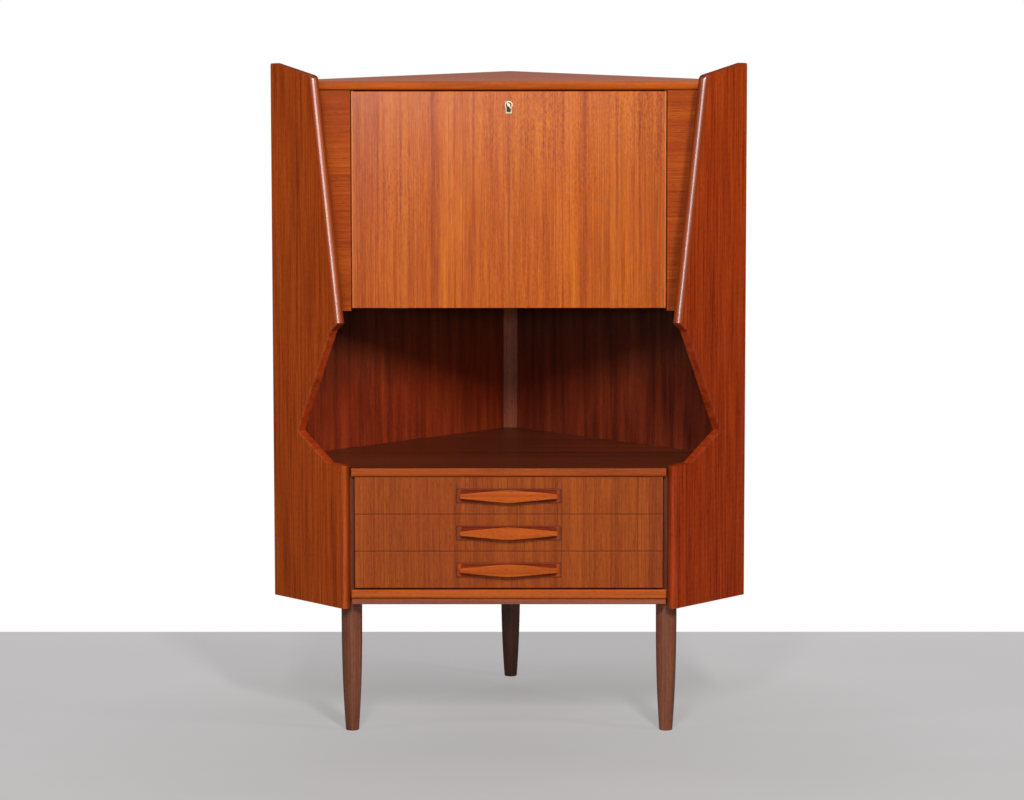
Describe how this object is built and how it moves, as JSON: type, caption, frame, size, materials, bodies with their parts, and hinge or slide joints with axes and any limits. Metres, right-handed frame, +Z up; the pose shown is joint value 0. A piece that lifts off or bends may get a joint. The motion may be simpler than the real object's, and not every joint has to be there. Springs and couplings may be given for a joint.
{
  "type": "corner bar cabinet",
  "caption": "Tall corner cabinet with shaped wings, a lockable drop-front bar compartment, an open niche and shallow drawers on turned tapering legs.",
  "frame": {"origin": "on the floor, under the middle of the bounding box", "axes": "+X to the right seen from the front, +Y back into the room's corner, +Z up"},
  "size_m": [1, 0.6924, 1.3962],
  "materials": {
    "teak_wing": "satin lacquered teak, red-brown, grain upright",
    "teak_top": "satin lacquered teak, paler",
    "teak_front": "satin lacquered teak veneer, book-matched, orange-brown",
    "teak_niche": "satin lacquered teak, dark",
    "teak_carcass": "satin lacquered teak",
    "teak_drawer": "satin lacquered teak",
    "teak_leg": "satin dark-stained beech",
    "drawer_maple": "bare pale wood",
    "drawer_ply": "bare pale plywood",
    "brass": "polished brass"
  },
  "bodies": {
    "case": {"wing_left": "teak_wing", "wing_left_front_lip": "teak_wing", "wing_left_chin_lip": "teak_wing", "wing_left_niche_lip": "teak_wing", "wing_left_waist_lip": "teak_wing", "wing_left_foot_lip": "teak_wing", "wing_right": "teak_wing", "wing_right_front_lip": "teak_wing", "wing_right_chin_lip": "teak_wing", "wing_right_niche_lip": "teak_wing", "wing_right_waist_lip": "teak_wing", "wing_right_foot_lip": "teak_wing", "top_panel": "teak_top", "base_panel": "teak_carcass", "niche_shelf": "teak_niche", "bar_floor": "teak_niche", "back_panel_left": "teak_niche", "back_panel_right": "teak_niche", "corner_post": "teak_niche", "stile_left": "teak_front", "stile_right": "teak_front", "bar_side_left": "teak_niche", "bar_side_right": "teak_niche", "drawer_case_left": "teak_carcass", "drawer_case_right": "teak_carcass", "base_rail": "teak_carcass", "leg_front_left": "teak_leg", "leg_front_right": "teak_leg", "leg_back": "teak_leg", "hinge_floor_leaf_left": "brass", "hinge_floor_leaf_right": "brass"},
    "door": {"door_panel": "teak_front", "hinge_door_leaf_left": "brass", "hinge_door_leaf_right": "brass", "keyhole_liner": "brass", "lock_case": "brass", "stay_bracket": "brass"},
    "bolt": {"lock_bolt": "brass"},
    "key": {"key": "brass"},
    "rod": {"stay_rod": "brass"},
    "guide": {"stay_guide": "brass"},
    "drawer_1": {"drawer_1_front": "teak_drawer", "drawer_1_pull": "teak_drawer", "drawer_1_side_left": "drawer_maple", "drawer_1_side_right": "drawer_maple", "drawer_1_back": "drawer_maple", "drawer_1_bottom": "drawer_ply"},
    "drawer_2": {"drawer_2_front": "teak_drawer", "drawer_2_pull": "teak_drawer", "drawer_2_side_left": "drawer_maple", "drawer_2_side_right": "drawer_maple", "drawer_2_back": "drawer_maple", "drawer_2_bottom": "drawer_ply"},
    "drawer_3": {"drawer_3_front": "teak_drawer", "drawer_3_pull": "teak_drawer", "drawer_3_side_left": "drawer_maple", "drawer_3_side_right": "drawer_maple", "drawer_3_back": "drawer_maple", "drawer_3_bottom": "drawer_ply"}
  },
  "joints": [
    {"name": "door_drop", "type": "hinge", "parent": "case", "child": "door", "pos_m": [0, -0.16485, 0.8827], "axis": [1, 0, 0], "range_deg": [0, 90]},
    {"name": "stay_rod_turn", "type": "hinge", "parent": "door", "child": "rod", "pos_m": [0.31656, -0.15485, 0.97214], "axis": [1, 0, 0], "range_deg": [-45, 0]},
    {"name": "stay_guide_turn", "type": "hinge", "parent": "case", "child": "guide", "pos_m": [0.31656, -0.12601, 0.96389], "axis": [1, 0, 0], "range_deg": [0, 45]},
    {"name": "key_turn", "type": "hinge", "parent": "door", "child": "key", "pos_m": [0, -0.18385, 1.3096], "axis": [0, -1, 0], "range_deg": [-37, 83]},
    {"name": "bolt_slide", "type": "slide", "parent": "door", "child": "bolt", "axis": [0, 0, 1], "range_m": [-0.0025, 0.0056]},
    {"name": "drawer_1_slide", "type": "slide", "parent": "case", "child": "drawer_1", "axis": [0, -1, 0], "range_m": [0, 0.24]},
    {"name": "drawer_2_slide", "type": "slide", "parent": "case", "child": "drawer_2", "axis": [0, -1, 0], "range_m": [0, 0.24]},
    {"name": "drawer_3_slide", "type": "slide", "parent": "case", "child": "drawer_3", "axis": [0, -1, 0], "range_m": [0, 0.24]}
  ],
  "couplings": [
    {"joint": "stay_guide_turn", "follows": "door_drop", "ratio": 0.5},
    {"joint": "stay_rod_turn", "follows": "door_drop", "ratio": -0.5},
    {"joint": "key_turn", "follows": "bolt_slide", "rad_per_m": 258}
  ]
}
